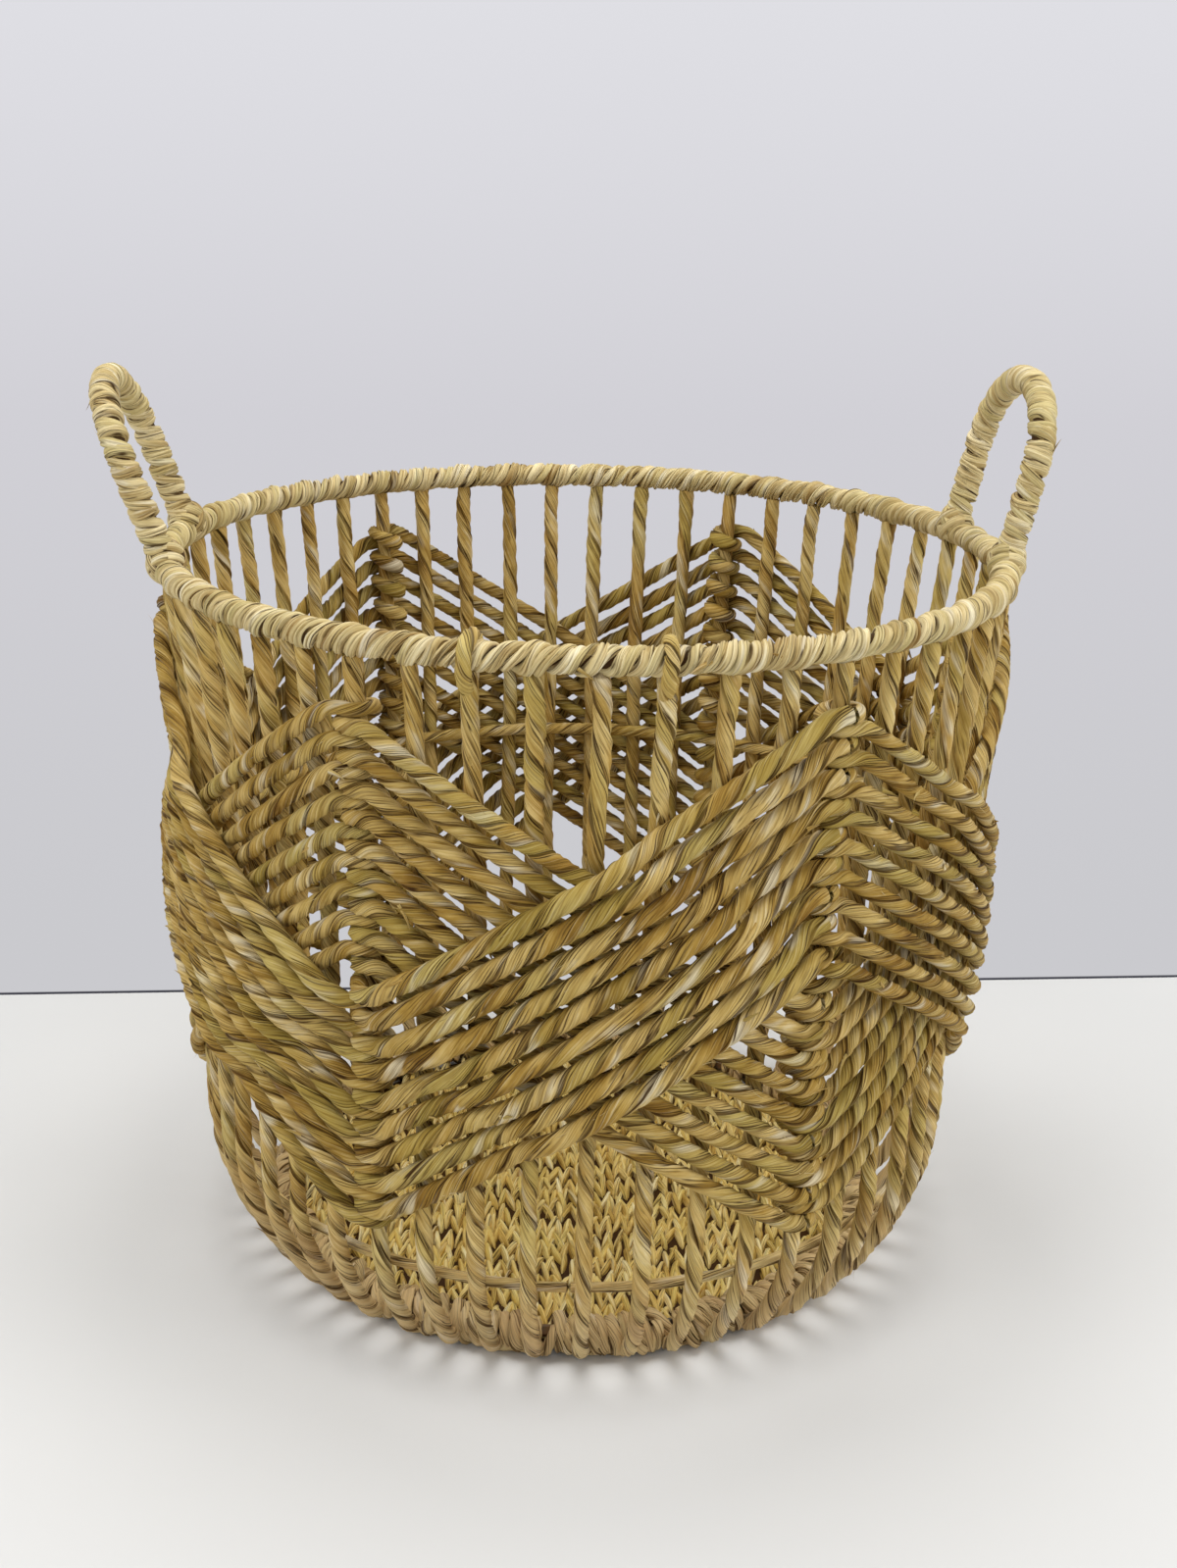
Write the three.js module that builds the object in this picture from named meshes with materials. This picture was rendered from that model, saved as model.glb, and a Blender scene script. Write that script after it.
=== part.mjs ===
// A round open-work basket woven from twisted seagrass cord, with two upright handles.
//
// Forty-eight upright stakes, in pairs joined under the base, stand between a braided base mat
// and a wire rim wound with cord. Two bands of zigzag strands lie over the stakes on the outside.
// Every strand takes one full turn round each of six corner stakes, where the zigzags have
// their peaks and valleys. The inner band lies on the stakes and the outer band lies on the inner.
//
// Millimetres, +Z up. The origin is on the floor, on the basket's axis. The front is -Y.

import * as THREE from 'three';

// Driving sizes
const RIM_RADIUS = 200; // centreline of the rim
const WALL_RADIUS = 188; // centrelines of the stakes along the upright wall
const NECK_HEIGHT = 110; // below the rim's centreline, where the stakes start to lean out to it
const CORNER_HEIGHT = 72; // where the wall starts to curve in to the base
const CORNER_DEPTH = 31; // how far that curve pulls the wall in at the floor
const FOOT_TUCK = 3; // how far the cord tucks in under the basket's edge
const PEAK_DROP = 28; // from the rim's centreline down to the highest strand
const VALLEY_RISE = 9.3; // from the corner curve's top up to the lowest strand

const STAKES = 48;
const CORNERS = 6; // corner stakes, where the zigzags turn
const STRANDS = 9; // in each of the two bands
const FIRST_TURN = 4; // degrees by which the weave is turned round the axis
const WEAVE_DRIFT = 2; // degrees by which the hand-set stakes drift from front to back

const CORD_RADIUS = 3.6; // stakes
const STRAND_RADIUS = 4.7; // zigzag strands along their runs
const WRAP_RADIUS = 3; // the same strands, pulled tight round a corner stake
const TURN_GAP = 0.75; // between a strand's two passes over a corner stake
const STRAND_SLACK = 0.1; // spare height between one strand's turns and the next strand's
const LEVEL_REACH = 6.6; // past a corner turn, the run is level this far
const RAMP_REACH = 10.6; // past a corner turn, the strand has its full size this far out
const CLEARANCE = 0.3; // between pieces that lie on each other

const FRAME_WIRE_RADIUS = 2.2;
const RIM_WRAP_RADIUS = 5.6;
const HANDLE_WRAP_RADIUS = 6.6;
const HANDLE_WIDTH = 88; // between the centres of a handle's two legs
const HANDLE_LENGTH = 88; // from the rim's centreline to the top of the handle's centreline
const LEFT_HANDLE = { turn: -85, lean: 20 }; // degrees round the axis from the front, and outwards
const RIGHT_HANDLE = { turn: 96, lean: 12 };

const MID_HOOP_RADIUS = 3.2;
const LOWER_HOOP_RADIUS = 2.4;
const LOWER_HOOP_HEIGHT = 52;
const BASE_HOOP_RADIUS = 3;
const MAT_THICKNESS = 7.5;
const MAT_EDGE = 1.2; // rounding of the mat's edge

// How finely the round shapes are faceted
const STRAND_SIDES = 4;
const CORD_SIDES = 4;
const WIRE_SIDES = 5;
const WRAP_SIDES = 6;
const MAT_SIDES = 48;
const ARCH_STEPS = 8;
const CORNER_STATIONS = [1, 0.61, 0.33, 0.125]; // heights on the corner curve, as parts of it

// Sizes that follow
const wrapReach = CORD_RADIUS + CLEARANCE + WRAP_RADIUS;
const wrapStep = 2 * WRAP_RADIUS + TURN_GAP;
const strandPitch = 2 * wrapStep + STRAND_SLACK;
const bandHeight = (STRANDS - 1) * strandPitch;
const bandGap = 2 * (WRAP_RADIUS + CLEARANCE + MID_HOOP_RADIUS) + (3 * wrapStep) / 2;
const lowestValley = CORNER_HEIGHT + VALLEY_RISE;
const highestValley = lowestValley + bandHeight;
const lowestPeak = highestValley + bandGap;
const highestPeak = lowestPeak + bandHeight;
const rimHeight = highestPeak + PEAK_DROP;
const stakeTop = rimHeight - RIM_WRAP_RADIUS - CLEARANCE;
const stakesPerSide = STAKES / CORNERS;
const footHeight = CORD_RADIUS + CLEARANCE;
const wireBore = (FRAME_WIRE_RADIUS + CLEARANCE) / Math.cos(Math.PI / WRAP_SIDES);

const straw = new THREE.MeshStandardMaterial({ color: 0xcdb882, roughness: 0.75 });
const olive = new THREE.MeshStandardMaterial({ color: 0xb09448, roughness: 0.7 });
const tan = new THREE.MeshStandardMaterial({ color: 0xa98b52, roughness: 0.75 });
const pale = new THREE.MeshStandardMaterial({ color: 0xd2b96c, roughness: 0.8 });
const steel = new THREE.MeshStandardMaterial({ color: 0x6f7072, roughness: 0.45, metalness: 0.9 });

const radians = (degrees) => (degrees * Math.PI) / 180;
const up = new THREE.Vector3(0, 0, 1);
const outward = (turn) => new THREE.Vector3(Math.sin(turn), -Math.cos(turn), 0);
const along = (turn) => new THREE.Vector3(Math.cos(turn), Math.sin(turn), 0);

// Turn round the axis, in radians from the front, of stake number k.
function stakeTurn(k) {
  const even = (2 * Math.PI * k) / STAKES;
  return even + radians(FIRST_TURN) - radians(WEAVE_DRIFT) * Math.cos(even);
}

// The wall is upright, with a straight lean out to the rim and a parabola in to the base.
function wallCurve(z) {
  const lean = (RIM_RADIUS - WALL_RADIUS) * Math.max(0, 1 - (rimHeight - z) / NECK_HEIGHT);
  return WALL_RADIUS + lean - CORNER_DEPTH * Math.max(0, 1 - z / CORNER_HEIGHT) ** 2;
}

const cornerHeights = CORNER_STATIONS.map((part) => part * CORNER_HEIGHT);
const stations = [rimHeight, rimHeight - NECK_HEIGHT, ...cornerHeights]
  .map((z) => ({ z, r: wallCurve(z) }));

// Radius of the stakes' centrelines, straight from station to station.
function wallRadius(z) {
  const below = stations.slice(1, -1).findIndex((station) => station.z <= z);
  const index = below < 0 ? stations.length - 1 : below + 1;
  const low = stations[index];
  const high = stations[index - 1];
  return low.r + ((high.r - low.r) * (z - low.z)) / (high.z - low.z);
}

const footRadius = wallCurve(0) - FOOT_TUCK;

function geometryFrom(positions, faces) {
  const geometry = new THREE.BufferGeometry();
  geometry.setAttribute('position', new THREE.Float32BufferAttribute(positions, 3));
  geometry.setIndex(faces);
  geometry.computeVertexNormals();
  return geometry;
}

// A tube through the given points, mitred at each of them. A closed path joins its own start.
// A tube with a bore is a sleeve with open ends. tilt turns the section about the path.
function tube(points, radiusAt, sides, { closed = false, bore = 0, side = null, tilt = 0 } = {}) {
  const count = points.length;
  const spans = closed ? count : count - 1;
  const directions = Array.from({ length: spans }, (_, i) =>
    points[(i + 1) % count].clone().sub(points[i]).normalize());
  const positions = [];
  const radii = bore ? [radiusAt, () => bore] : [radiusAt];
  let carried = side;
  let previous = directions[0];
  for (let i = 0; i < count; i += 1) {
    const arriving = directions[closed ? (i + spans - 1) % spans : Math.max(i - 1, 0)];
    const leaving = directions[closed ? i : Math.min(i, spans - 1)];
    const tangent = arriving.clone().add(leaving).normalize();
    const stretch = 1 / tangent.dot(arriving) - 1;
    const bend = leaving.clone().sub(arriving);
    if (bend.length() > 0) bend.normalize();
    if (side) {
      const turn = new THREE.Quaternion().setFromUnitVectors(previous, tangent);
      carried = carried.clone().applyQuaternion(turn);
      previous = tangent;
    } else {
      carried = tangent.clone().cross(up).normalize();
    }
    const rise = tangent.clone().cross(carried);
    for (const radius of radii) {
      for (let j = 0; j < sides; j += 1) {
        const angle = (2 * Math.PI * j) / sides + tilt;
        const spoke = carried.clone().multiplyScalar(Math.cos(angle))
          .addScaledVector(rise, Math.sin(angle)).multiplyScalar(radius(i));
        spoke.addScaledVector(bend, spoke.dot(bend) * stretch).add(points[i]);
        positions.push(spoke.x, spoke.y, spoke.z);
      }
    }
  }
  const faces = [];
  const ring = sides * radii.length;
  const quad = (a, b, c, d) => faces.push(a, b, c, a, c, d);
  for (let i = 0; i < spans; i += 1) {
    const near = i * ring;
    const far = ((i + 1) % count) * ring;
    for (let j = 0; j < sides; j += 1) {
      const k = (j + 1) % sides;
      quad(near + j, near + k, far + k, far + j);
      if (bore) quad(near + sides + k, near + sides + j, far + sides + j, far + sides + k);
    }
  }
  if (!closed) {
    const last = (count - 1) * ring;
    for (let j = 0; j < sides; j += 1) {
      const k = (j + 1) % sides;
      if (bore) {
        quad(k, j, sides + j, sides + k);
        quad(last + j, last + k, last + sides + k, last + sides + j);
      } else if (j > 0 && k > 0) {
        faces.push(0, k, j, last, last + j, last + k);
      }
    }
  }
  return geometryFrom(positions, faces);
}

const basket = new THREE.Group();

function add(name, geometry, material) {
  const mesh = new THREE.Mesh(geometry, material);
  mesh.name = name;
  basket.add(mesh);
}

// Point at a turn round the axis, a distance out from the stakes' centreline, and a height.
function wallPoint(turn, out, z) {
  return outward(turn).multiplyScalar(wallRadius(z) + out).setZ(z);
}

// Two stakes that are one length of cord, joined by a turn under the base's edge.
function wallCord(pair) {
  const legs = [stakeTurn(2 * pair), stakeTurn(2 * pair + 1)];
  const leg = (turn) => stations.map((station) => wallPoint(turn, 0, Math.min(station.z, stakeTop)));
  const foot = (turn) => outward(turn).multiplyScalar(footRadius).setZ(footHeight);
  const points = [...leg(legs[0]), foot(legs[0]), foot(legs[1]), ...leg(legs[1]).reverse()];
  return tube(points, () => CORD_RADIUS, CORD_SIDES, { side: along(legs[0]) });
}

// The inner band lies on the stakes. The outer band has the inner one for its bed: it lies on
// the stakes too, and climbs over the inner band where they cross. A band's out is the distance
// of its runs from the stakes' centreline, and its lift is how far a run climbs over the bed.
const innerBand = { out: CORD_RADIUS + CLEARANCE + STRAND_RADIUS, peakFirst: false };
const outerBand = {
  out: innerBand.out, peakFirst: true, bed: innerBand, lift: 2 * (STRAND_RADIUS + 2 * CLEARANCE),
};

const cornerStake = (side) => stakesPerSide / 2 + side * stakesPerSide;
const isPeak = (band, side) => (side % 2 === 0) === band.peakFirst;

// The heights at which a band's strand comes to a side's corner stake and leaves it.
const arrival = (band, number, side) =>
  (isPeak(band, side) ? highestPeak : highestValley) - number * strandPitch;
const departure = (band, number, side) =>
  arrival(band, number, side) + (isPeak(band, side) ? -wrapStep : wrapStep);

// The run from a side's corner stake to the next: its slope, and its height at stake k past
// the corner. It is level for LEVEL_REACH past the turns and straight between.
function run(band, number, side) {
  const turn = stakeTurn(cornerStake(side));
  const nextTurn = stakeTurn(cornerStake(side + 1));
  const start = departure(band, number, side);
  const fall = arrival(band, number, side + 1) - start;
  const radius = wallRadius(start);
  const level = wrapReach + LEVEL_REACH;
  const slope = fall / ((nextTurn - turn) * radius - 2 * level);
  const height = (k) => start + slope * ((stakeTurn(cornerStake(side) + k) - turn) * radius - level);
  return { slope, height, spacing: ((nextTurn - turn) * radius) / stakesPerSide };
}

// How far a run climbs at each of the given stakes past a side's corner: over the bed wherever
// the bed's strands are near its height there or at the place before or after.
function climbs(band, number, side, places) {
  if (!band.bed) return places.map(() => 0);
  const top = run(band.bed, 0, side);
  const bottom = run(band.bed, STRANDS - 1, side);
  const own = run(band, number, side);
  const crosses = places.map((k) =>
    own.height(k) < top.height(k) + strandPitch && own.height(k) > bottom.height(k) - strandPitch);
  return crosses.map((_, i) =>
    (crosses[i - 1] || crosses[i] || crosses[i + 1] ? band.lift : 0));
}

// One zigzag strand, a closed loop round the basket with a full turn round each corner stake.
// A point beside a corner stake is the distance along the wall from it, the distance out from
// it, and the height.
function strandRoute(number, band) {
  const points = [];
  const radii = [];
  const stride = band.bed ? 1 : 2;
  const reach = wrapReach + RAMP_REACH;
  const sides = Array.from({ length: CORNERS }, (_, side) => {
    const { slope, height, spacing } = run(band, number, side);
    const stakes = [];
    for (let k = stride; k < stakesPerSide; k += stride) stakes.push(k);
    const places = [reach / spacing, ...stakes, stakesPerSide - reach / spacing];
    return { slope, height, stakes, climbed: climbs(band, number, side, places) };
  });
  sides.forEach(({ slope, height, stakes, climbed }, side) => {
    const last = sides[(side + CORNERS - 1) % CORNERS];
    const turn = stakeTurn(cornerStake(side));
    const start = arrival(band, number, side);
    const end = departure(band, number, side);
    const step = end - start;
    const rise = RAMP_REACH - LEVEL_REACH;
    const drop = reach ** 2 / (2 * wallRadius(start));
    const place = (s, y, z) => {
      points.push(outward(turn).multiplyScalar(wallRadius(z) + y).addScaledVector(along(turn), s).setZ(z));
      radii.push(WRAP_RADIUS);
    };
    place(-reach, band.out + last.climbed[last.climbed.length - 1] - drop, start - last.slope * rise);
    place(-wrapReach, wrapReach, start);
    place(wrapReach, wrapReach, start);
    place(wrapReach, -wrapReach, start + step / 4);
    place(-wrapReach, -wrapReach, start + (step * 3) / 4);
    place(-wrapReach, wrapReach, end);
    place(wrapReach, wrapReach, end);
    place(reach, band.out + climbed[0] - drop, end + slope * rise);
    stakes.forEach((k, i) => {
      const stake = cornerStake(side) + k;
      const halfStep = (stakeTurn(stake + 2) - stakeTurn(stake - 2)) / 4;
      const z = height(k);
      const out = wallRadius(z) + band.out + climbed[i + 1];
      const bowed = k % 2 === 0 ? out / Math.cos(halfStep) : out;
      points.push(outward(stakeTurn(stake)).multiplyScalar(bowed).setZ(z));
      radii.push(STRAND_RADIUS);
    });
  });
  return { points, radii };
}

// Least distance between the surfaces of two stretches of one strand that aren't neighbours,
// measured on points a few to each span, with each point's own radius.
function leastGap({ points, radii }) {
  const samples = [];
  const steps = 6;
  points.forEach((point, i) => {
    const next = (i + 1) % points.length;
    for (let step = 0; step < steps; step += 1) {
      const part = step / steps;
      samples.push({
        centre: point.clone().lerp(points[next], part),
        radius: radii[i] + (radii[next] - radii[i]) * part,
        span: i,
      });
    }
  });
  let least = Infinity;
  for (const a of samples) {
    for (const b of samples) {
      const apart = Math.abs(a.span - b.span);
      const neighbours = Math.min(apart, points.length - apart) < 2;
      if (!neighbours) least = Math.min(least, a.centre.distanceTo(b.centre) - a.radius - b.radius);
    }
  }
  return least;
}

function strand(number, band) {
  const route = strandRoute(number, band);
  return tube(route.points, (i) => route.radii[i], STRAND_SIDES, { closed: true });
}

// A hoop with a bend at every step-th stake.
function hoop(radius, z, wireRadius, sides, step) {
  const count = STAKES / step;
  const points = Array.from({ length: count }, (_, i) =>
    outward(stakeTurn(i * step)).multiplyScalar(radius).setZ(z));
  return tube(points, () => wireRadius, sides, { closed: true });
}

// The turns at which a handle's two legs stand on the rim.
function legTurns({ turn }) {
  const half = Math.asin(HANDLE_WIDTH / 2 / RIM_RADIUS);
  return [radians(turn) - half, radians(turn) + half];
}

// The handle's arch from foot to foot: straight legs and a half circle, leaning outwards.
function archPoints({ turn, lean }, footGap) {
  const half = HANDLE_WIDTH / 2;
  const legLength = HANDLE_LENGTH - half;
  const across = along(radians(turn));
  const out = outward(radians(turn));
  const rise = up.clone().multiplyScalar(Math.cos(radians(lean)))
    .addScaledVector(out, Math.sin(radians(lean)));
  const foot = out.clone().multiplyScalar(Math.sqrt(RIM_RADIUS ** 2 - half ** 2)).setZ(rimHeight);
  const place = (s, h) => foot.clone().addScaledVector(across, s).addScaledVector(rise, h);
  const arc = Array.from({ length: ARCH_STEPS + 1 }, (_, i) => {
    const angle = (Math.PI * i) / ARCH_STEPS;
    return place(-half * Math.cos(angle), legLength + half * Math.sin(angle));
  });
  return [place(-half, footGap), ...arc, place(half, footGap)];
}

function handleWire(handle) {
  const points = archPoints(handle, 2 * FRAME_WIRE_RADIUS + CLEARANCE);
  return tube(points, () => FRAME_WIRE_RADIUS, WIRE_SIDES, { side: outward(radians(handle.turn)) });
}

function handleWrap(handle) {
  const footGap = RIM_WRAP_RADIUS / Math.cos(radians(handle.lean)) + 2 * CLEARANCE;
  const points = archPoints(handle, footGap);
  return tube(points, () => HANDLE_WRAP_RADIUS, WRAP_SIDES,
    { bore: wireBore, side: outward(radians(handle.turn)) });
}

// A point of the rim's centreline, which bends at every stake.
function rimPoint(turn) {
  let k = -STAKES;
  while (stakeTurn(k + 1) < turn) k += 1;
  const part = (turn - stakeTurn(k)) / (stakeTurn(k + 1) - stakeTurn(k));
  const bend = outward(stakeTurn(k)).multiplyScalar(RIM_RADIUS);
  return bend.lerp(outward(stakeTurn(k + 1)).multiplyScalar(RIM_RADIUS), part).setZ(rimHeight);
}

// A stretch of the rim's winding from one handle leg to the next, clear of both legs' wires.
function rimWrap(from, to) {
  const gap = Math.asin((FRAME_WIRE_RADIUS + 3 * CLEARANCE) / RIM_RADIUS);
  const turns = Array.from({ length: 3 * STAKES }, (_, k) => stakeTurn(k - STAKES));
  const bends = turns.filter((turn) => turn > from + 2 * gap && turn < to - 2 * gap);
  const points = [from + gap, ...bends, to - gap].map(rimPoint);
  return tube(points, () => RIM_WRAP_RADIUS, WRAP_SIDES,
    { bore: wireBore, side: outward(from), tilt: Math.PI / 2 });
}

// The braided mat: a round pad with a flat underside and softened edges.
function baseMat() {
  const radius = footRadius - CORD_RADIUS - CLEARANCE;
  const profile = [
    [0, 0],
    [radius - MAT_EDGE, 0],
    [radius, MAT_EDGE],
    [radius, MAT_THICKNESS - MAT_EDGE],
    [radius - MAT_EDGE, MAT_THICKNESS],
    [0, MAT_THICKNESS],
  ].map(([x, y]) => new THREE.Vector2(x, y));
  const geometry = new THREE.LatheGeometry(profile, MAT_SIDES);
  geometry.rotateX(Math.PI / 2);
  return geometry;
}

for (let pair = 0; pair < STAKES / 2; pair += 1) {
  add(`wall_cord_${pair + 1}`, wallCord(pair), olive);
}

for (let number = 0; number < STRANDS; number += 1) {
  add(`inner_strand_${number + 1}`, strand(number, innerBand), olive);
  add(`outer_strand_${number + 1}`, strand(number, outerBand), tan);
}

const [leftFront, leftBack] = legTurns(LEFT_HANDLE).map((turn) => turn + 2 * Math.PI).reverse();
const [rightFront, rightBack] = legTurns(RIGHT_HANDLE);
add('rim_wire', hoop(RIM_RADIUS, rimHeight, FRAME_WIRE_RADIUS, WIRE_SIDES, 1), steel);
add('rim_wrap_front', rimWrap(leftFront - 2 * Math.PI, rightFront), straw);
add('rim_wrap_right', rimWrap(rightFront, rightBack), straw);
add('rim_wrap_back', rimWrap(rightBack, leftBack), straw);
add('rim_wrap_left', rimWrap(leftBack, leftFront), straw);
add('handle_wire_left', handleWire(LEFT_HANDLE), steel);
add('handle_wire_right', handleWire(RIGHT_HANDLE), steel);
add('handle_wrap_left', handleWrap(LEFT_HANDLE), straw);
add('handle_wrap_right', handleWrap(RIGHT_HANDLE), straw);

// The middle hoop lies on the stakes inside, between the lowest peak turns and the highest
// valley turns.
const midHeight = (lowestPeak + highestValley) / 2;
const midGap = CORD_RADIUS + CLEARANCE + MID_HOOP_RADIUS;
add('mid_hoop', hoop(wallRadius(midHeight) - midGap, midHeight, MID_HOOP_RADIUS,
  WIRE_SIDES, 2), olive);

const lowerGap = CORD_RADIUS + 2 * CLEARANCE + LOWER_HOOP_RADIUS;
add('lower_hoop', hoop(wallRadius(LOWER_HOOP_HEIGHT) - lowerGap, LOWER_HOOP_HEIGHT,
  LOWER_HOOP_RADIUS, WIRE_SIDES, 2), olive);

// The base hoop lies in the crook between the feet of the stakes and the turns that join them.
const lastStation = stations[stations.length - 1];
const footRise = Math.atan2(lastStation.z - footHeight, lastStation.r - footRadius);
const crook = CORD_RADIUS + CLEARANCE + BASE_HOOP_RADIUS;
add('base_hoop', hoop(footRadius - crook * Math.sin(footRise), footHeight + crook * Math.cos(footRise),
  BASE_HOOP_RADIUS, WIRE_SIDES, 1), steel);
add('base_mat', baseMat(), pale);

const gaps = [innerBand, outerBand].map((band) => leastGap(strandRoute(0, band)));
console.log(`least gap of a strand to itself: ${Math.min(...gaps).toFixed(2)} mm`);

export default basket;
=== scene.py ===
"""Laundry basket woven from twisted seagrass cord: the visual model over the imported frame.

Metres, +Z up, the front is -Y. A turn is an angle round the basket's axis, in radians from the
front towards +X.
"""
import math

import bpy
import numpy as np
from mathutils import Matrix, Vector


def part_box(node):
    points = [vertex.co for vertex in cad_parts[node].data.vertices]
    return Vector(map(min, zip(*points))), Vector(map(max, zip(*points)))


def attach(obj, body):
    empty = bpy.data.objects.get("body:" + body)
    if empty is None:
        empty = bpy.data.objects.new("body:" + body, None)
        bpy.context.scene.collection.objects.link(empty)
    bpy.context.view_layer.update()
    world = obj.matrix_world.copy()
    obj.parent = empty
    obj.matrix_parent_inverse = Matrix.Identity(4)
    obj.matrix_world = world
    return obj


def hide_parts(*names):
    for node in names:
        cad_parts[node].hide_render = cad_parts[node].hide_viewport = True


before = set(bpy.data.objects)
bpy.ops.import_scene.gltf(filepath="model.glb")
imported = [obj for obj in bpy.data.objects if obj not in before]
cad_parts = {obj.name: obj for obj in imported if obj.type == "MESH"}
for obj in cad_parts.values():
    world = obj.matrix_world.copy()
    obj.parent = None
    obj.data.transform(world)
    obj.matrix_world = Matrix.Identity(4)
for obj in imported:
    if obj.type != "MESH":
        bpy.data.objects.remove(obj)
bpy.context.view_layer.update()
rng = np.random.default_rng(4809)


def middle(node):
    """Centre and half size of a CAD node's box."""
    low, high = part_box(node)
    return (low + high) / 2, (high - low) / 2


UP = np.array([0, 0, 1.0])
LOWEST = 0.0001  # what would reach below this is pressed flat on the floor

# Sizes that the CAD part has too
STAKES, CORNERS, STRANDS = 48, 6, 9
SIDE_STAKES = STAKES // CORNERS  # from one corner stake to the next
WALL_RADIUS = 0.188  # centrelines of the stakes along the upright wall
NECK_HEIGHT, NECK_LEAN = 0.110, 0.012  # the wall's lean out to the rim
CORNER_HEIGHT, CORNER_DEPTH = 0.072, 0.031  # the wall's curve in to the base
HIGH_VALLEY, HIGH_PEAK = 0.1901, 0.3220  # heights where each band's top strand turns
STRAND_PITCH = 0.0136  # from a strand down to the next
WRAP_STEP = 0.00675  # between a strand's two passes over a corner stake
WIRE, RIM_WRAP, HANDLE_WRAP = 0.0022, 0.0056, 0.0066  # radii of the wires and windings
MID_HOOP, LOWER_HOOP = 0.0032, 0.0024  # radii of the thin hoops' cords
RIM_Z = middle("rim_wire")[0].z
RIM_RADIUS = middle("rim_wire")[1].x - WIRE
HANDLES = {"left": (math.radians(-85), math.radians(20)),
           "right": (math.radians(96), math.radians(12))}  # turn, and lean outwards
HANDLE_HALF, HANDLE_LENGTH = 0.044, 0.088  # half its width, and its height over the rim
LEG_TURN = math.asin(HANDLE_HALF / RIM_RADIUS)

# Sizes of the cords
CORD = 0.0038  # a stake's radius
# A strand's radius and lay along its run from each corner to the next: the front run is the last
INNER_RUNS = [(0.0036, 0.026), (0.0037, 0.030), (0.0037, 0.032), (0.0037, 0.030),
              (0.0037, 0.032), (0.0038, 0.034)]
OUTER_RUNS = [(0.0037, 0.042), (0.0038, 0.034), (0.0039, 0.036), (0.0038, 0.034),
              (0.0041, 0.042), (0.0043, 0.048)]
# A strand's radius where it turns round a stake: in front, proud or tucked, beside and behind
PROUD, TUCKED, BESIDE, BEHIND = 0.0039, 0.0031, 0.0029, 0.0044
PROUD_LIFT = 0.0004  # further out, where it is proud
TURN_LAY = 0.026  # lay of that turn
BAND_LIFT = 0.0082  # how far the outer band climbs where it lies over the inner one
LIFT_WHOLE, LIFT_GONE = 0.010, 0.040  # the climb is whole this near that band and gone this far
EASE = 0.017  # length beside a corner over which a strand changes its radius and place
SWAY_RADIUS = 0.19  # turns a sway along the wall into a turn round the axis


def stake_turn(k):
    """Turn of stake k: even spacing that drifts two degrees from front to back."""
    even = 2 * np.pi * np.asarray(k, float) / STAKES
    return even + math.radians(4) - math.radians(2) * np.cos(even)


def wall_radius(z):
    """Radius of the stakes' centrelines: the wall's, a soft lean out over the neck's height, and
    a parabola in to the base over the corner's height."""
    lean = 1 - (RIM_Z - np.asarray(z, float)) / NECK_HEIGHT
    lean = (lean + np.sqrt(lean * lean + 0.01)) / 2
    inwards = np.clip(1 - np.asarray(z) / CORNER_HEIGHT, 0, None) ** 2
    return WALL_RADIUS + NECK_LEAN * lean - CORNER_DEPTH * inwards


def ramp(t):
    """0 to 1 as t goes from 0 to 1, level at both ends: 3t^2 - 2t^3."""
    t = np.clip(t, 0, 1)
    return t * t * (3 - 2 * t)


def at(turn, radius, z):
    """Points from a turn, a radius and a height."""
    turn, radius, z = np.broadcast_arrays(turn, radius, z)
    return np.stack([radius * np.sin(turn), -radius * np.cos(turn), z], -1)


def drift(length, feature, places, loop=False):
    """Smooth random values from -1 to 1 at places along a length, one bump per feature."""
    knots = max(3, int(round(length / feature)))
    values = rng.uniform(-1, 1, knots + (0 if loop else 2))
    t = np.asarray(places) / length * knots
    low = np.floor(t).astype(int)
    part = ramp(t - low)
    count = len(values)
    return values[low % count] * (1 - part) + values[(low + 1) % count] * part


def resample(points, spacing, loop=False):
    """The same route with even steps: columns past the third ride along. Returns the points,
    their distance along the route and its length."""
    if loop:
        points = np.vstack([points, points[:1]])
    steps = np.linalg.norm(np.diff(points[:, :3], axis=0), axis=1)
    run = np.concatenate([[0], np.cumsum(steps)])
    count = max(2, int(round(run[-1] / spacing)))
    places = np.linspace(0, run[-1], count + 1)
    if loop:
        places = places[:-1]
    columns = [np.interp(places, run, points[:, c]) for c in range(points.shape[1])]
    return np.stack(columns, 1), places, run[-1]


def blur(points, reach, spacing, loop=False):
    """Even points averaged with their neighbours by a bell curve of that reach."""
    half = int(3 * reach / spacing) + 1
    weights = np.exp(-0.5 * (np.arange(-half, half + 1) * spacing / reach) ** 2)
    weights /= weights.sum()
    if loop:
        padded = np.vstack([points[-half:], points, points[:half]])
    else:
        ends = (2 * points[0] - points[half:0:-1], 2 * points[-1] - points[-2:-half - 2:-1])
        padded = np.vstack([ends[0], points, ends[1]])
    columns = [np.convolve(padded[:, c], weights, "valid") for c in range(points.shape[1])]
    return np.stack(columns, 1)


def smoothed(points, reach):
    """A short drawn route rounded by a bell curve of that reach, with its places and length."""
    points, _, _ = resample(points, 0.0006)
    return resample(blur(points, reach, 0.0006), 0.0014)


def blunt(places, length, least):
    """Parts of a cord's radius that round off its two ends, no less than the root of least."""
    return np.sqrt(np.clip(1 - np.abs(places / length * 2 - 1) ** 8, least, 1))


def unit(vectors):
    """The vectors at length 1."""
    return vectors / np.linalg.norm(vectors, axis=-1, keepdims=True)


def directions(points, loop=False):
    """Unit tangents of a route at its points."""
    if loop:
        return unit(np.roll(points, -1, 0) - np.roll(points, 1, 0))
    return unit(np.gradient(points, axis=0))


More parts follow.
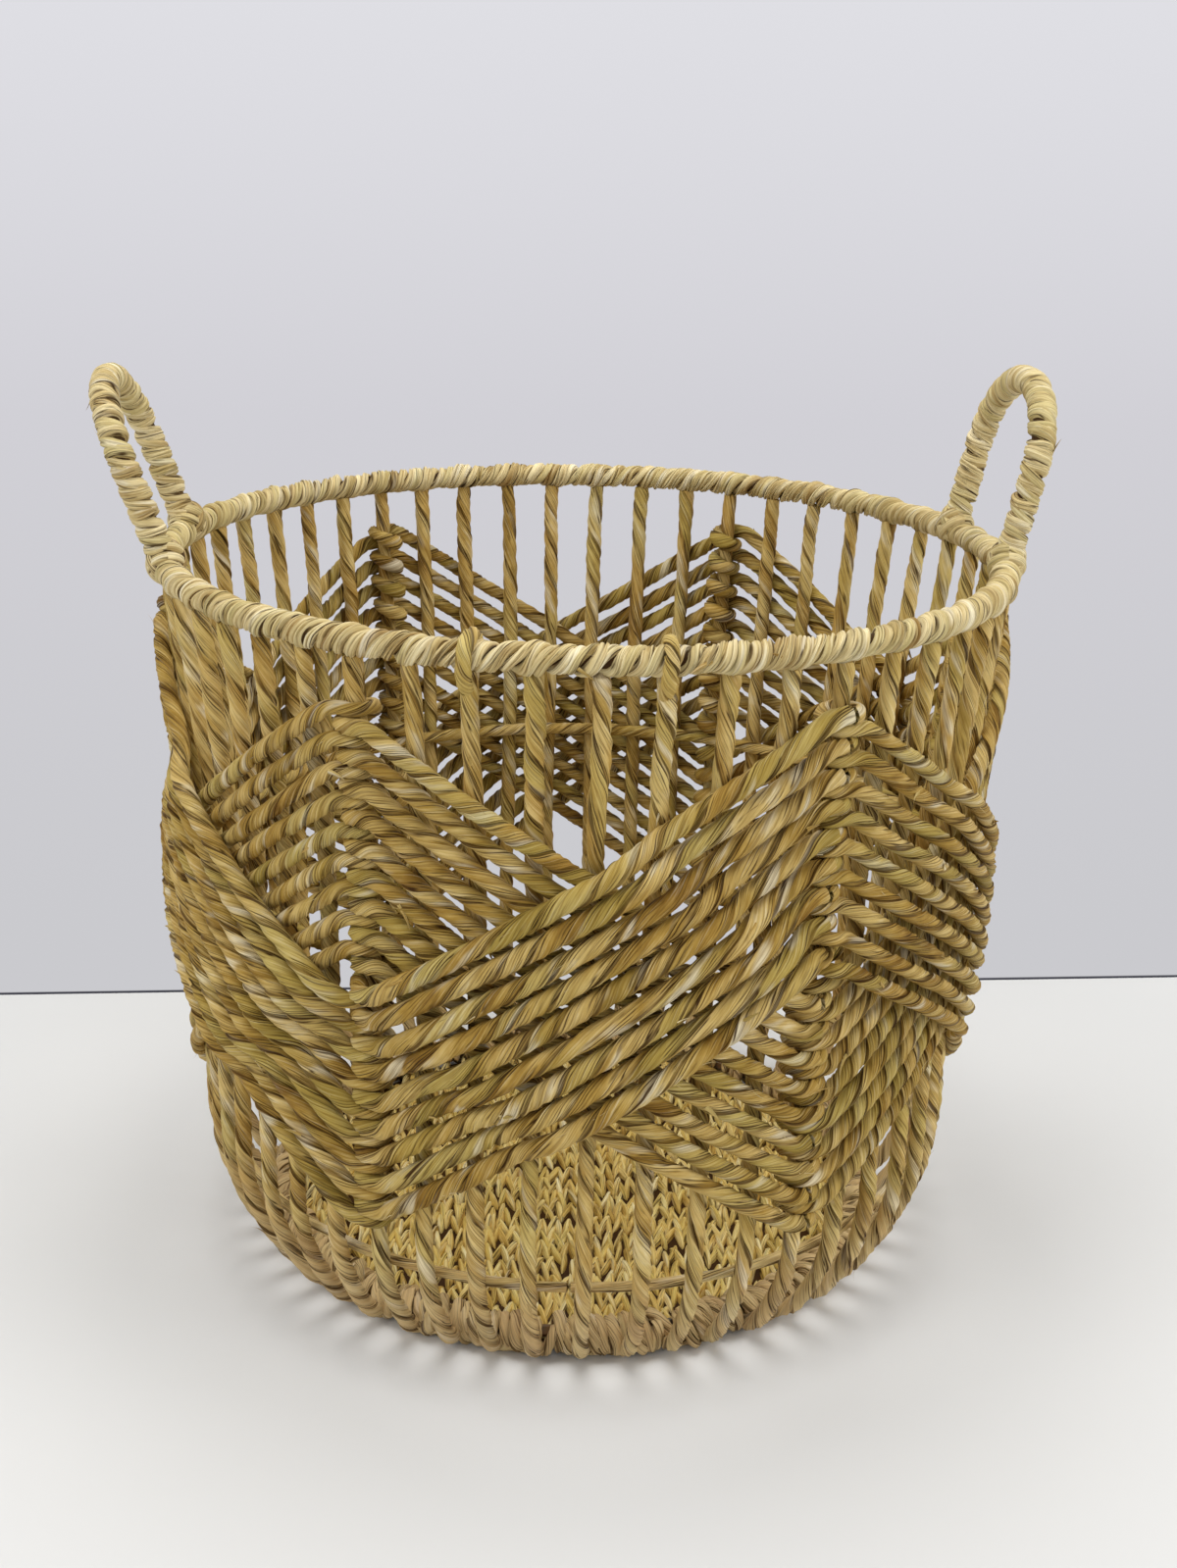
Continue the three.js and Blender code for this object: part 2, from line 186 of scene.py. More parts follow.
def side_frame(tangents, towards):
    """Two unit vectors square to each tangent: the first leans to the given direction, the
    second completes the right-handed set."""
    first = unit(towards - (towards * tangents).sum(-1, keepdims=True) * tangents)
    return first, np.cross(tangents, first)


def carried_frame(points, tangents, towards):
    """The same for a route that turns every way: the frame is carried along it unturned."""
    first = np.empty_like(points)
    first[0] = unit(towards - towards.dot(tangents[0]) * tangents[0])
    for i in range(len(points) - 1):
        step = points[i + 1] - points[i]
        size = step.dot(step)
        side = first[i] - 2 / size * step.dot(first[i]) * step
        ahead = tangents[i] - 2 / size * step.dot(tangents[i]) * step
        turn = tangents[i + 1] - ahead
        size = max(turn.dot(turn), 1e-18)
        first[i + 1] = unit(side - 2 / size * turn.dot(side) * turn)
    return first, np.cross(tangents, first)


def patch(points, uv, ring=False, loop=False):
    """Quads over a stack of grids. points is (stack, n, m, 3) and uv (stack, n + loop, m + ring,
    2); a ring joins m to its start and a loop joins n to its start."""
    stack, n, m = points.shape[:3]
    k, i, j = np.meshgrid(np.arange(stack), np.arange(n - 1 + loop), np.arange(m - 1 + ring),
                          indexing="ij")
    corners = ((i, j), (i, j + 1), (i + 1, j + 1), (i + 1, j))
    quads = np.stack([(k * n + a % n) * m + b % m for a, b in corners], -1).reshape(-1, 4)
    marks = np.stack([uv[k, a, b] for a, b in corners], -2).reshape(-1, 2)
    return points.reshape(-1, 3), quads, marks


def make(name, patches, material, nodes=(), sharp=50, dark=False):
    """One mesh object of the given patches, riding on the root body, pressed flat where it would
    sink into the floor. When dark is true, the last patch is its dark core, which takes the
    material of painted shade."""
    offset = np.cumsum([0] + [len(p[0]) for p in patches])
    points = np.concatenate([p[0] for p in patches]).astype(np.float32)
    points[:, 2] = np.maximum(points[:, 2], LOWEST)
    quads = np.concatenate([p[1] + o for p, o in zip(patches, offset)]).astype(np.int32)
    marks = np.concatenate([p[2] for p in patches]).astype(np.float32)
    mesh = bpy.data.meshes.new(name)
    mesh.vertices.add(len(points))
    mesh.vertices.foreach_set("co", points.ravel())
    mesh.loops.add(quads.size)
    mesh.loops.foreach_set("vertex_index", quads.ravel())
    mesh.polygons.add(len(quads))
    mesh.polygons.foreach_set("loop_start", np.arange(0, quads.size, 4, dtype=np.int32))
    mesh.update(calc_edges=True)
    layer = mesh.uv_layers.new(name="UVMap")
    layer.data.foreach_set("uv", marks.ravel())
    mesh.shade_smooth()
    mesh.set_sharp_from_angle(angle=math.radians(sharp))
    mesh.materials.append(material)
    if dark:
        # The last patch takes the dark material of painted shade, for what shows only as shade in
        # gaps.
        mesh.materials.append(PAINTED_SHADE)
        faces = sum(len(p[1]) for p in patches[:-1])
        mesh.polygons.foreach_set("material_index",
                                  (np.arange(len(quads)) >= faces).astype(np.int32))
    piece = bpy.data.objects.new(name, mesh)
    bpy.context.scene.collection.objects.link(piece)
    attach(piece, "root")
    if nodes:
        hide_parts(*nodes)


# A cord is two flat-folded leaves laid round each other. Each leaf covers half the section: it
# starts proud, swells, has a shallow fold and thins out to a lip that dips under the next one.
LEAVES = 2
LEAF_PLACES = np.array([0, 0.04, 0.20, 0.38, 0.44, 0.62, 0.78, 0.86, 0.94])
LEAF_SWELL = np.array([0.99, 1.08, 1.00, 1.05, 1.05, 0.95, 1.00, 0.92, 0.80])
LEAF_FOLD = np.array([0, 0, 0, 0.02, 0.02, -0.01, 0.02, -0.08, 0])


def twisted(route, radius, lay, axes, places, length, loop=False, rough=0.035, flat=0.05):
    """Skin of a twisted cord. At distance s the section of two leaves is turned by
    -2 pi s / lay, the lay drifting by two fifths. The leaves' edges sway, so that their widths
    change; each column's radius drifts, and the lips and folds come and go."""
    first, second = axes
    rate = 2 * np.pi / lay * (1 + 0.42 * drift(length, 0.055, places, loop))
    step = np.diff(np.append(places, length))
    angle = -np.concatenate([[0], np.cumsum(rate * step)])
    total = angle[-1]
    if loop:
        angle = angle * round(total / (2 * np.pi / LEAVES)) * 2 * np.pi / LEAVES / total
    angle = angle[:len(route)]
    count = len(LEAF_PLACES)
    edges = [0.28 * drift(length, 0.045, places, loop) for _ in range(LEAVES)]
    sizes, turned, around = [], [], []
    for leaf in range(LEAVES):
        lip = 1 + 0.55 * drift(length, 0.035, places, loop)
        fold = 0.9 + 0.9 * drift(length, 0.04, places, loop)
        start, end = edges[leaf], 1 + edges[(leaf + 1) % LEAVES]
        swell = 1 + flat * drift(length, 0.045, places, loop)
        for place, size, dip in zip(LEAF_PLACES, LEAF_SWELL, LEAF_FOLD):
            turned.append(angle + 2 * np.pi / LEAVES * (leaf + start + place * (end - start)))
            sizes.append(swell + (size - 1) * lip + dip * fold
                         + rough * drift(length, 0.010, places, loop))
            around.append(leaf + place)
    turned, sizes = np.stack(turned, 1), np.stack(sizes, 1)
    sizes *= (radius * (1 + 0.05 * drift(length, 0.04, places, loop)))[:, None]
    points = (route[:, None] + first[:, None] * (np.cos(turned) * sizes)[..., None]
              + second[:, None] * (np.sin(turned) * sizes)[..., None])
    u = np.append(places, length) if loop else places
    uv = np.empty((len(u), LEAVES * count + 1, 2))
    uv[..., 0] = u[:, None] + rng.uniform(0, 40)
    uv[..., 1] = np.append(around, LEAVES)[None, :]
    return patch(points[None], uv[None], ring=True, loop=loop)


def srgb(r, g, b):
    """A colour as the photo shows it, in scene-linear values."""
    c = np.array([r, g, b]) / 255
    return tuple(np.where(c <= 0.04045, c / 12.92, ((c + 0.055) / 1.055) ** 2.4)) + (1,)


class Tree:
    """Short ways to add and join shader nodes."""

    def __init__(self, nodes, links):
        self.nodes, self.links = nodes, links

    def node(self, kind, inputs=(), **settings):
        """A node with its settings, and its inputs joined to sockets or set to values."""
        made = self.nodes.new("ShaderNode" + kind)
        for key, value in settings.items():
            setattr(made, key, value)
        for key, value in dict(inputs).items():
            socket = made.inputs[key]
            if isinstance(value, bpy.types.NodeSocket):
                self.links.new(value, socket)
            else:
                socket.default_value = value
        return made

    def math(self, operation, *values):
        return self.node("Math", enumerate(values), operation=operation).outputs[0]

    def noise(self, vector, scale, detail=2.0, rough=0.5):
        """Noise from 0 to 1."""
        return self.node("TexNoise", {"Vector": vector, "Scale": scale, "Detail": detail,
                                      "Roughness": rough}).outputs["Fac"]

    def steps(self, value, stops):
        """A colour ramp with stops of a place and a colour."""
        ramp_node = self.node("ValToRGB", {"Fac": value})
        elements = ramp_node.color_ramp.elements
        while len(elements) < len(stops):
            elements.new(0.5)
        for element, (place, colour) in zip(elements, stops):
            element.position, element.color = place, colour
        return ramp_node.outputs["Color"]

    def mix(self, factor, a, b):
        """Colour a at factor 0 and b at factor 1."""
        made = self.node("Mix", data_type="RGBA")
        for index, value in ((0, factor), (6, a), (7, b)):
            if isinstance(value, bpy.types.NodeSocket):
                self.links.new(value, made.inputs[index])
            else:
                made.inputs[index].default_value = value
        return made.outputs[2]

    def span(self, value, low, high, to_low=0.0, to_high=1.0):
        """to_low up to low, to_high from high on and a smooth step between."""
        return self.node("MapRange", {"Value": value, "From Min": low, "From Max": high,
                                      "To Min": to_low, "To Max": to_high},
                         interpolation_type="SMOOTHSTEP").outputs["Result"]

    def place(self):
        """Place in the frame, as every object stands at its origin."""
        return self.node("TexCoord").outputs["Object"]

    def height(self):
        """Height above the floor."""
        return self.node("SeparateXYZ", {"Vector": self.place()}).outputs["Z"]


def new_material(name):
    """A new material, its tree and its shader."""
    material = bpy.data.materials.new(name)
    material.use_nodes = True
    t = Tree(material.node_tree.nodes, material.node_tree.links)
    return material, t, t.nodes["Principled BSDF"]


def leaf_group():
    """Masks of a dried leaf strip from its UV, where u is metres along and v counts strips:
    slow tone, fibre streaks, thin fold creases that take painted shade, pale patches of bleached
    leaf and painted sheen, green tinge, the painted shade at a lip and in the fold's groove, which
    comes and goes, and painted shade on the leaf's sides by its lips."""
    group = bpy.data.node_groups.new("leaf_marks", "ShaderNodeTree")
    group.interface.new_socket("Folds", in_out="INPUT", socket_type="NodeSocketFloat")
    names = ("Tone", "Fibre", "Crease", "BleachAndSheen", "Green", "LipShade", "Side")
    for name in names:
        group.interface.new_socket(name, in_out="OUTPUT", socket_type="NodeSocketFloat")
    t = Tree(group.nodes, group.links)
    folds = group.nodes.new("NodeGroupInput").outputs["Folds"]
    uv = t.node("UVMap", uv_map="UVMap").outputs["UV"]
    parts = t.node("SeparateXYZ", {"Vector": uv}).outputs
    u, v = parts["X"], parts["Y"]

    def stretched(along, across, seed):
        """A place for noise: features along and across the leaf, and which noise it is."""
        return t.node("CombineXYZ", {"X": t.math("MULTIPLY", u, along),
                                     "Y": t.math("MULTIPLY", v, across), "Z": seed}).outputs[0]

    own = t.node("CombineXYZ", {"X": t.math("MULTIPLY", u, 13.0),
                                "Y": t.math("MULTIPLY", t.math("FLOOR", v), 7.3)}).outputs[0]
    slow = t.noise(own, 1.0, 2.0, 0.6)
    patchy = t.noise(stretched(50.0, 1.8, 3.0), 1.0, 3.0, 0.6)
    tone = t.math("ADD", t.math("MULTIPLY", slow, 0.62), t.math("MULTIPLY", patchy, 0.38))
    tone = t.span(tone, 0.26, 0.74)
    fibre = t.noise(stretched(32.0, 15.0, 7.0), 1.0, 4.0, 0.62)
    bent = t.math("MULTIPLY", t.noise(stretched(26.0, 2.6, 11.0), 1.0, 2.0, 0.5), 4.2)
    fold = t.math("FRACT", t.math("ADD", t.math("MULTIPLY", v, folds), bent))
    fold = t.math("ABSOLUTE", t.math("SUBTRACT", fold, 0.5))
    gate = t.span(t.noise(stretched(44.0, 2.4, 17.0), 1.0, 2.0, 0.5), 0.42, 0.52)
    edge = t.math("FRACT", v)
    near = t.math("MAXIMUM", t.span(edge, 0.40, 0.80), t.span(edge, 0.05, 0.35, 1.0, 0.0))
    gate = t.math("MULTIPLY", gate, t.math("ADD", 0.30, t.math("MULTIPLY", near, 0.70)))
    # Where the fold creases run: they get painted shade in the colour, and a groove in the bump.
    crease = t.math("MULTIPLY", t.span(fold, 0.02, 0.22, 1.0, 0.0), gate)
    # Pale patches: partly bleached leaf, partly painted sheen.
    bleach_and_sheen = t.span(t.noise(stretched(30.0, 1.2, 23.0), 1.0, 2.0, 0.5), 0.58, 0.70)
    green = t.span(t.noise(own, 0.6, 1.0), 0.45, 0.65)
    # Painted shade at the lips, where a leaf dips under the next one, and in the fold's groove.
    lip = t.math("MAXIMUM", t.span(edge, 0.90, 0.97), t.span(edge, 0.0, 0.03, 1.0, 0.0))
    groove = t.span(t.math("ABSOLUTE", t.math("SUBTRACT", edge, 0.86)), 0.0, 0.03, 0.9, 0.0)
    come = t.span(t.noise(stretched(42.0, 0.9, 31.0), 1.0, 2.0), 0.36, 0.54)
    lip = t.math("MULTIPLY", t.math("MAXIMUM", lip, groove),
                 t.math("ADD", 0.2, t.math("MULTIPLY", come, 0.8)))
    # Painted shade along the leaf's sides near its lips.
    side = t.math("MAXIMUM", t.span(edge, 0.70, 0.94), t.span(edge, 0.0, 0.10, 1.0, 0.0))
    out = group.nodes.new("NodeGroupOutput")
    for name, value in zip(names, (tone, fibre, crease, bleach_and_sheen, green, lip, side)):
        group.links.new(value, out.inputs[name])
    return group


LEAF = leaf_group()


def seagrass(name, dark, mid, light, pale, green, lip_shade=0.74, bleach_and_sheen_amount=0.75, folds=7.5,
             foot=None):
    """Dried leaf cord. The tone runs from dark through mid to light, with pale patches of bleached
    leaf and painted sheen, a green tinge here and there, fine fibre streaks and creases, so many
    folds to a leaf. Painted shade darkens the sides by the lips, and a dark brown painted shade
    fills the creases, the lips and the fold's groove. It fades to the foot colour, if it has one,
    over the lowest 90 mm."""
    material, t, shader = new_material(name)
    marks = t.node("Group", {"Folds": folds}, node_tree=LEAF).outputs
    colour = t.steps(marks["Tone"], [(0.0, dark), (0.38, mid), (0.75, light), (1.0, pale)])
    colour = t.mix(t.math("MULTIPLY", marks["Green"], 0.45), colour, green)
    # Pale patches of bleached leaf and painted sheen.
    colour = t.mix(t.math("MULTIPLY", marks["BleachAndSheen"], bleach_and_sheen_amount), colour, pale)
    colour = t.mix(t.span(marks["Fibre"], 0.30, 0.58, 0.55, 0.0), colour, dark)
    colour = t.mix(t.span(marks["Fibre"], 0.54, 0.74, 0.0, 0.35), colour, pale)
    if foot:
        colour = t.mix(t.span(t.height(), 0.01, 0.09, 0.45, 0.0), colour, foot)
    # Painted shade: the sides near the lips are pulled towards the dark tone.
    colour = t.mix(t.math("MULTIPLY", marks["Side"], 0.22), colour, dark)
    # Painted shade: dark brown in the fold creases, at the lips and in the fold's groove.
    shade = t.math("MAXIMUM", t.math("MULTIPLY", marks["Crease"], 0.96),
                   t.math("MULTIPLY", marks["LipShade"], lip_shade))
    colour = t.mix(shade, colour, srgb(56, 30, 0))
    height = t.math("SUBTRACT", t.math("MULTIPLY", marks["Fibre"], 0.7), marks["Crease"])
    bump = t.node("Bump", {"Strength": 0.8, "Distance": 0.0007, "Height": height})
    t.links.new(bump.outputs["Normal"], shader.inputs["Normal"])
    t.links.new(colour, shader.inputs["Base Color"])
    t.links.new(t.span(marks["Fibre"], 0.3, 0.7, 0.74, 0.50), shader.inputs["Roughness"])
    shader.inputs["Specular IOR Level"].default_value = 0.15
    return material


STAKE = seagrass("stake_leaf", srgb(118, 78, 6), srgb(196, 161, 87), srgb(222, 196, 129),
                 srgb(240, 230, 200), srgb(190, 175, 96), bleach_and_sheen_amount=0.6,
                 foot=srgb(212, 186, 150))
WEAVE = seagrass("weave_leaf", srgb(102, 64, 0), srgb(176, 142, 66), srgb(210, 182, 114),
                 srgb(234, 225, 196), srgb(168, 156, 76), bleach_and_sheen_amount=0.65)
STRAW = seagrass("straw_leaf", srgb(134, 96, 36), srgb(208, 187, 132), srgb(236, 219, 170),
                 srgb(250, 242, 214), srgb(200, 188, 128), lip_shade=0.95, bleach_and_sheen_amount=0.6, folds=3.3)
MAT = seagrass("mat_leaf", srgb(140, 96, 20), srgb(228, 196, 108), srgb(248, 228, 158),
               srgb(255, 248, 212), srgb(222, 202, 112), lip_shade=0.7, bleach_and_sheen_amount=0.4, folds=2.5)
# Painted shade: dark leaf colours for the cores under the windings and the mat's bed, seen only as
# shade between turns and stitches.
PAINTED_SHADE = seagrass("painted_shade_core", srgb(52, 34, 8), srgb(66, 44, 12), srgb(80, 56, 18),
                srgb(90, 66, 26), srgb(70, 52, 16))


def iron():
    """Drawn iron with brown rust in patches, which are rough and no longer bare metal."""
    material, t, shader = new_material("drawn_iron")
    rust = t.span(t.noise(t.place(), 90.0, 3.0, 0.6), 0.38, 0.56)
    t.links.new(t.mix(rust, srgb(96, 90, 82), srgb(118, 86, 50)), shader.inputs["Base Color"])
    t.links.new(t.span(rust, 0.0, 1.0, 0.42, 0.78), shader.inputs["Roughness"])
    t.links.new(t.span(rust, 0.0, 1.0, 0.9, 0.1), shader.inputs["Metallic"])
    return material


IRON = iron()
for wire in ("rim_wire", "handle_wire_left", "handle_wire_right", "base_hoop"):
    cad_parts[wire].data.materials.clear()
    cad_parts[wire].data.materials.append(IRON)


ROOTS = []  # points, directions and radii along the cords, where fibres and tips stand off


def add_roots(route, radius):
    """Roots for stray fibres and tips along a wound route."""
    points, _, _ = resample(route, 0.0005)
    ROOTS.append(np.column_stack([points, directions(points), np.full(len(points), radius)]))


def stake_pair(pair):
    """Two stakes and the turn under the base's edge that joins them, one length of cord. Its
    two ends are in the rim's winding. Each stake follows the wall's radius, sways along the wall
    by up to 1.1 mm and bows out or in by up to 0.4 mm."""
    turns = stake_turn([2 * pair, 2 * pair + 1])
    top, lowest = RIM_Z - 0.0045, 0.0039
    z = np.arange(top, 0.009, -0.004)

    def leg(turn):
        sway = 0.0011 * drift(1, 0.25, np.linspace(0, 1, len(z))) * ramp((top - z) / 0.02)
        bow = 0.0004 * drift(1, 0.2, np.linspace(0, 1, len(z)))
        return at(turn + sway / SWAY_RADIUS, wall_radius(z) + bow, z)

    # Radii and heights where the cord turns in under the edge
    foot = [at(turn, np.array([0.1595, 0.1555]), np.array([0.0062, 0.0041])) for turn in turns]
    under = at(turns[0] + (turns[1] - turns[0]) * np.array([0.15, 0.5, 0.85]), 0.1540, lowest)
    points = np.vstack([leg(turns[0]), foot[0], under, foot[1][::-1], leg(turns[1])[::-1]])
    points, _, _ = resample(points, 0.001)
    points = blur(points, 0.0022, 0.001)
    points[:, 2] = np.maximum(points[:, 2], lowest)
    points, places, length = resample(points, 0.0016)
    tangents = directions(points)
    axes = carried_frame(points, tangents, at(turns[0], 1.0, 0.0))
    radius = np.full(len(points), CORD)
    radius[[0, -1]] = 1e-5
    ROOTS.append(np.column_stack([points, tangents, radius])[20:-20])
    lay = 0.042 * rng.uniform(0.85, 1.2)
    return twisted(points, radius, lay, axes, places, length, flat=0.09)


for pair in range(STAKES // 2):
    make(f"stake_pair_{pair + 1}", [stake_pair(pair)], STAKE,
         [f"wall_cord_{pair + 1}"])


def corner_turns(side):
    """Turns of a side's corner stake and of the next side's."""
    return stake_turn(SIDE_STAKES * (side + np.array([0.5, 1.5])))


def corner_heights(outer, number, side):
    """Heights at which a strand comes to a side's corner stake and leaves it."""
    peak = (side % 2 == 0) == outer
    arrival = (HIGH_PEAK if peak else HIGH_VALLEY) - number * STRAND_PITCH
    return arrival, arrival + (-WRAP_STEP if peak else WRAP_STEP)


def run_height(outer, number, side, part):
    """Height of the run from a side's corner to the next one at parts 0 to 1 of the way:
    level for 8 mm at both ends and straight between."""
    start = corner_heights(outer, number, side)[1]
    end = corner_heights(outer, number, (side + 1) % CORNERS)[0]
    turns = corner_turns(side)
    span = (turns[1] - turns[0]) * wall_radius(start)
    level = 0.008 / span
    return start + (end - start) * np.clip((part - level) / (1 - 2 * level), 0, 1)


def corner_radii(side):
    """A strand's radii as it comes to a side's corner stake and as it leaves it: at corners 0
    to 2 it arrives proud and leaves tucked in, and at 3 to 5 the other way."""
    return (PROUD, TUCKED) if side % CORNERS < 3 else (TUCKED, PROUD)


def corner_wrap(outer, number, side):
    """A strand's full turn round a side's corner stake, a circle that touches it, in rows of a
    place, the strand's radius and its lay."""
    arriving, leaving = corner_radii(side)
    start, end = corner_heights(outer, number, side)
    angle = np.linspace(0, 2 * np.pi, 41)[:-1]
    behind, beside = (1 - np.cos(angle)) / 2, np.sin(angle) ** 2
    front = np.where(angle < np.pi, arriving, leaving)
    radius = front * (1 - behind) + BEHIND * behind
    radius = radius * (1 - beside) + BESIDE * beside
    reach = CORD * (1 - 0.25 * beside) + radius + (front == PROUD) * PROUD_LIFT
    z = start + (end - start) * ramp((angle - np.pi * 0.45) / (np.pi * 1.1))
    turn = corner_turns(side)[0]
    points = (at(turn, wall_radius(z) + reach * np.cos(angle), z)
              + at(turn + np.pi / 2, reach * np.sin(angle), 0.0))
    return np.column_stack([points, radius, np.full(len(radius), TURN_LAY)])


def side_run(outer, number, side):
    """A strand's run from a side's corner stake to the next, in such rows. It touches the
    stakes, drifts a little between the corners, and the outer band climbs further out where it
    lies over the inner one."""
    turns = corner_turns(side)
    span = (turns[1] - turns[0]) * wall_radius(corner_heights(outer, number, side)[0])
    part = np.arange(0.002, span - 0.001, 0.003) / span
    z = run_height(outer, number, side, part)
    leaving, arriving = corner_radii(side)[1], corner_radii(side + 1)[0]
    leave, arrive = ramp(part * span / EASE), ramp((1 - part) * span / EASE)
    full, lay = (OUTER_RUNS if outer else INNER_RUNS)[side]
    radius = full * (leave + arrive - 1) + leaving * (1 - leave) + arriving * (1 - arrive)
    ends = (CORD + leaving) * (1 - leave) + (CORD + arriving) * (1 - arrive)
    out = (CORD + full) * (leave + arrive - 1) + ends
    if outer:
        low = run_height(False, STRANDS - 1, side, part)
        high = run_height(False, 0, side, part)
        apart = np.maximum(np.maximum(low - z, z - high), 0)
        out = out + BAND_LIFT * (1 - ramp((apart - LIFT_WHOLE) / (LIFT_GONE - LIFT_WHOLE)))
    loose = leave * arrive
    z = z + (0.0008 * drift(1, 0.3, part) + 0.0005 * drift(1, 0.13, part)) * loose
    out = out + 0.0004 * drift(1, 0.25, part) * loose
    turn = turns[0] + (turns[1] - turns[0]) * part
    return np.column_stack([at(turn, wall_radius(z) + out, z), radius, np.full(len(z), lay)])


def strand_route(outer, number):
    """A strand's closed zigzag route, with its radius and lay: a full turn round each corner
    stake and a run to the next."""
    rows = []
    for side in range(CORNERS):
        rows += [corner_wrap(outer, number, side), side_run(outer, number, side)]
    route, _, _ = resample(np.vstack(rows), 0.0008, loop=True)
    route = blur(route, 0.0018, 0.0008, loop=True)
    return resample(route, 0.0015, loop=True)


def strand(outer, number):
    """One closed strand of the inner or the outer band."""
    route, places, length = strand_route(outer, number)
    points, radius = route[:, :3], route[:, 3]
    tangents = directions(points, loop=True)
    axes = side_frame(tangents, UP)
    ROOTS.append(np.column_stack([points, tangents, radius]))
    return twisted(points, radius, route[:, 4] * rng.uniform(0.9, 1.12), axes, places, length,
                   loop=True)


for number in range(STRANDS):
    make(f"strand_inner_{number + 1}", [strand(False, number)], WEAVE,
         [f"inner_strand_{number + 1}"])
    make(f"strand_outer_{number + 1}", [strand(True, number)], WEAVE,
         [f"outer_strand_{number + 1}"])


# Across a flat leaf: places, its height at them in crowns, and the texture's v
STRIP = np.array([-0.60, -0.54, -0.46, -0.36, -0.26, -0.18, -0.08, 0.02, 0.12, 0.22, 0.32, 0.42,
                  0.52, 0.60])
STRIP_RISE = 1 - 2.3 * (STRIP / 0.6) ** 4
STRIP_V = (STRIP + 0.60) / 1.2 * 0.95 + 0.01
GROOVES = ((0.10, 0.42), (-0.26, 0.30))  # the grooves' middle places and depths in crowns


def winding(route, towards, radius, pitch, wide, starts, crown, slant=0.0, sway=0.0,
            uneven=1.0, swells=(), steps=24):
    """Flat leaves, as wide as `wide` pitches, wound round a route side by side. After t turns the
    middle of leaf j is at angle 2 pi (t + j / starts) and at pitch starts t back from the route's
    end, plus slant times the angle's cosine for even j and minus it for odd j. Its section is
    crowned with two grooves; place, width, rise, sway and grooves all wander along it, so that
    turns lie over one another here and there. It swells by 1 mm at the given distances and its
    two ends dip in."""
    points, places, length = resample(route, 0.0005)
    axes = side_frame(directions(points), towards)
    turns = length / pitch / starts
    patches = []
    for leaf in range(starts):
        t = np.linspace(0, turns, int(turns * steps) + 1)
        angle = 2 * np.pi * (t + leaf / starts)

        def wander(spread, feature):
            """A random drift of that spread, a bump per feature turns."""
            return spread * uneven * drift(turns, feature, t)

        way = slant * (1 - 2 * (leaf % 2))
        centre_s = (turns - t) / turns * length + way * (1 + wander(0.35, 0.8)) * np.cos(angle)
        centre_s = centre_s + pitch * (wander(0.26, 0.6) + wander(0.12, 0.2))
        swing = wander(1, 1.5) * np.cos(angle) + wander(1, 1.5) * np.sin(angle)
        centre_s = centre_s + sway * swing
        width = pitch * (wide / 1.2 + wander(0.26, 0.6) + wander(0.14, 0.2))
        s = np.clip(centre_s[:, None] + width[:, None] * STRIP, 0, length)
        rise = STRIP_RISE + 0.35 * STRIP + (wander(0.26, 0.6) + wander(0.10, 0.2))[:, None]
        for place, depth in GROOVES:
            place = place + wander(0.16, 1.1)
            depth = depth * (1 + wander(1.0, 0.5))
            rise = rise - depth[:, None] * np.exp(-((STRIP - place[:, None]) / 0.065) ** 2)
        rise = rise - 1.5 * (1 - ramp(np.minimum(t, turns - t) / 0.1))[:, None]
        size = radius - crown + crown * rise
        for place in swells:
            size = size + 0.0010 * np.exp(-((s - place) / 0.0055) ** 2)
        flat = s.ravel()
        centre, first, second = (np.stack([np.interp(flat, places, part[:, c]) for c in range(3)],
                                          -1).reshape(s.shape + (3,))
                                 for part in (points, axes[0], axes[1]))
        skin = centre + (first * np.cos(angle)[:, None, None]
                         + second * np.sin(angle)[:, None, None]) * size[..., None]
        uv = np.empty(skin.shape[:2] + (2,))
        uv[..., 0] = (angle * radius)[:, None] + rng.uniform(0, 40)
        uv[..., 1] = STRIP_V + rng.integers(0, 40)
        patches.append(patch(skin.transpose(1, 0, 2)[None, ::-1],
                             uv.transpose(1, 0, 2)[None, ::-1]))
    return patches


def band(path, out, side, width, crown):
    """A flat crowned leaf along a closed path: STRIP times the width across it, along the side
    vectors, and STRIP_RISE times the crown out of it, along the out vectors."""
    skin = (path[:, None] + side * (width * STRIP)[None, :, None]
            + out[:, None] * (crown * STRIP_RISE)[None, :, None])
    steps = np.linalg.norm(np.roll(path, -1, 0) - path, axis=1)
    uv = np.empty((len(path) + 1, len(STRIP), 2))
    uv[..., 0] = np.concatenate([[0], np.cumsum(steps)])[:, None] + rng.uniform(0, 40)
    uv[..., 1] = STRIP_V
    return patch(skin[None], uv[None], loop=True)


def core(route, towards, radius):
    """A plain tube of ten sides under a winding, drawn to a point at both ends, which make gives
    the dark material of painted shade that shows between the turns.
    """
    sides = 10
    points, places, length = resample(route, 0.004)
    axes = side_frame(directions(points), towards)
    angle = np.linspace(0, 2 * np.pi, sides, endpoint=False)
    size = np.full(len(points), radius)
    size[[0, -1]] = 1e-5
    skin = points[:, None] + (axes[0][:, None] * np.cos(angle)[None, :, None]
                              + axes[1][:, None] * np.sin(angle)[None, :, None]
                              ) * size[:, None, None]
    uv = np.zeros((len(points), sides + 1, 2))
    uv[..., 0] = places[:, None]
    return patch(skin[None], uv[None], ring=True)


